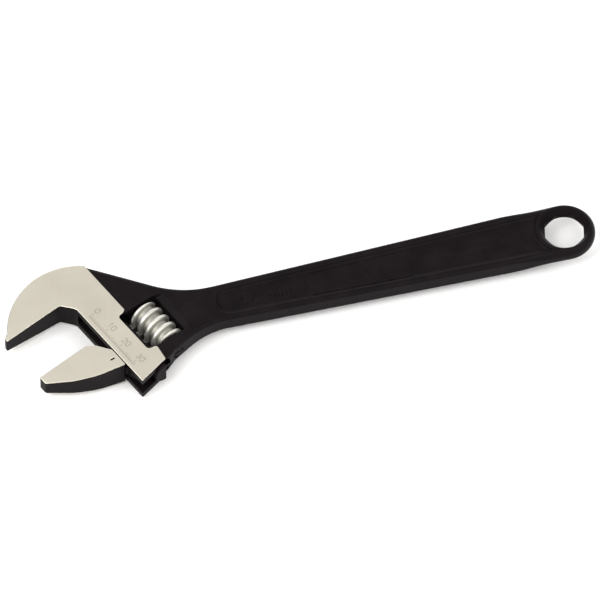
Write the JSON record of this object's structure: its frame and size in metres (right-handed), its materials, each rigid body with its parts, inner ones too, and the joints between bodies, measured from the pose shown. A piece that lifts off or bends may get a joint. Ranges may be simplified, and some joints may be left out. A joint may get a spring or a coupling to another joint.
{
  "type": "adjustable wrench",
  "caption": "Adjustable wrench with a black I-section handle, polished jaws, a sliding lower jaw driven by a worm, and an eight-sided hole in the ring end.",
  "frame": {"origin": "middle of the underside of the wrench's bounding box, with the wrench lying on its side", "axes": "+X along the handle from the jaws to the ring end, +Z through the thickness, +Y towards the back of the fixed jaw"},
  "size_m": [0.2562, 0.0652, 0.0143],
  "materials": {
    "blackened_steel": "black phosphate on forged steel, with the flat faces of both jaws ground bright",
    "bright_steel": "turned steel, bare",
    "spring_steel": "drawn spring wire"
  },
  "bodies": {
    "body": {"body": "blackened_steel", "worm_pin": "blackened_steel", "worm_spring": "spring_steel"},
    "jaw": {"movable_jaw": "blackened_steel"},
    "worm": {"worm": "bright_steel"}
  },
  "joints": [
    {"name": "jaw_slide", "type": "slide", "parent": "body", "child": "jaw", "axis": [0.3827, -0.9239, 0], "range_m": [-0.0227, 0.007]},
    {"name": "worm_spin", "type": "hinge", "parent": "body", "child": "worm", "pos_m": [-0.06453, -0.00405, 0.00715], "axis": [-0.3827, 0.9239, 0], "range_deg": [-1800, 560]}
  ],
  "couplings": [
    {"joint": "worm_spin", "follows": "jaw_slide", "rad_per_m": 1365.9}
  ]
}
